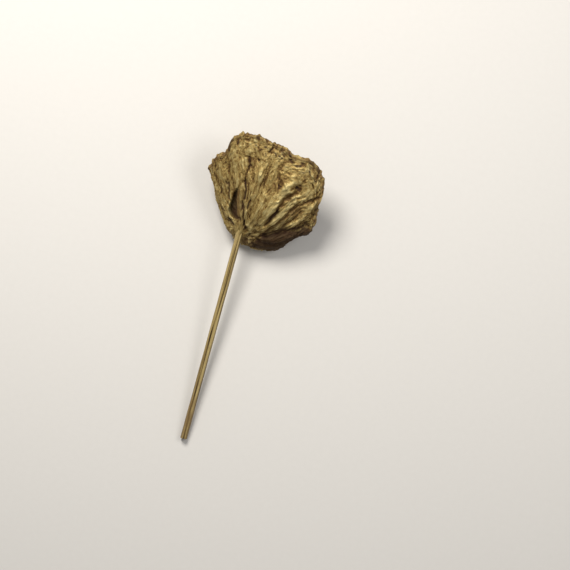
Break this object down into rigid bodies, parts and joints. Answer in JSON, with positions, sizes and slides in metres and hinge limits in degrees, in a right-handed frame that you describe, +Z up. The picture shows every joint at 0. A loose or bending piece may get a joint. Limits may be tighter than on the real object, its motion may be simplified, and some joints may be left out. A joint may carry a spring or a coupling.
{
  "type": "lotus seed pod",
  "caption": "Dried lotus seed pod, pressed flat, with loose seeds in a puckered face and a long straight stem, painted gold, lying on its side.",
  "frame": {"origin": "on the floor, under the middle of the whole part's box", "axes": "+Z up from the surface that the pod lies on, +Y along the stem from its cut end to the pod, +X to the right seen from above with the pod at the top"},
  "size_m": [0.071, 0.188, 0.0388],
  "materials": {
    "pod_gold": "dried spongy plant tissue under dull gold spray paint, brown in the folds",
    "stem_gold": "dried hollow stem under thin gold spray paint, straw and brown showing through",
    "seed_brown": "dark brown seed shell, gold dust on the exposed end"
  },
  "bodies": {
    "root": {"receptacle": "pod_gold", "stem": "stem_gold", "seed_01": "seed_brown", "seed_02": "seed_brown", "seed_03": "seed_brown", "seed_04": "seed_brown", "seed_05": "seed_brown", "seed_06": "seed_brown", "seed_07": "seed_brown", "seed_08": "seed_brown", "seed_09": "seed_brown", "seed_10": "seed_brown", "seed_11": "seed_brown", "seed_12": "seed_brown", "seed_13": "seed_brown", "seed_14": "seed_brown", "seed_15": "seed_brown", "seed_16": "seed_brown"}
  },
  "joints": []
}
